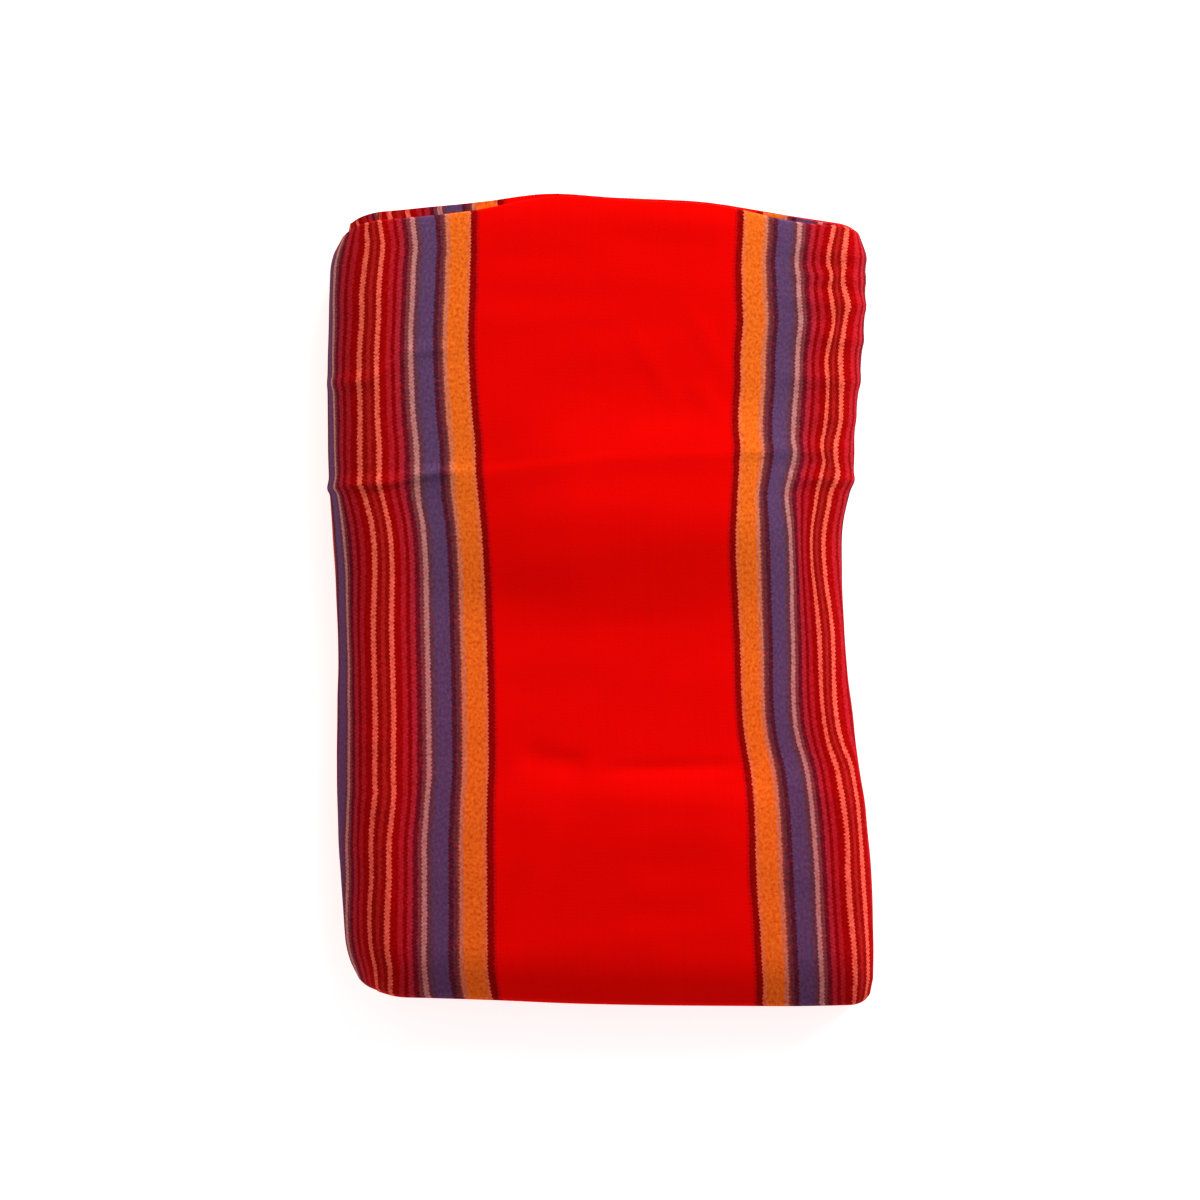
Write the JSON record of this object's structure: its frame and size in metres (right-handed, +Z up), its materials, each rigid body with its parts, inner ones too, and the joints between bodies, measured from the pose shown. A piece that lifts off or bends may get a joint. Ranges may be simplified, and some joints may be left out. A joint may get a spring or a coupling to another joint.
{
  "type": "folded shuka blanket",
  "caption": "Striped woven blanket cloth folded in four along its stripes and in eight across them, lying flat as a thick soft bundle.",
  "frame": {"origin": "under the middle of the folded bundle, on the surface that it lies on", "axes": "+X to the right of the front page, away from the thick folds; +Y along the stripes, to the top of the front page; +Z up, out of the front page"},
  "size_m": [0.2556, 0.3818, 0.0488],
  "materials": {
    "woven_cloth": "soft woven wool and acrylic, brushed, matt"
  },
  "bodies": {
    "root": {"shuka_blanket": "woven_cloth"}
  },
  "joints": []
}
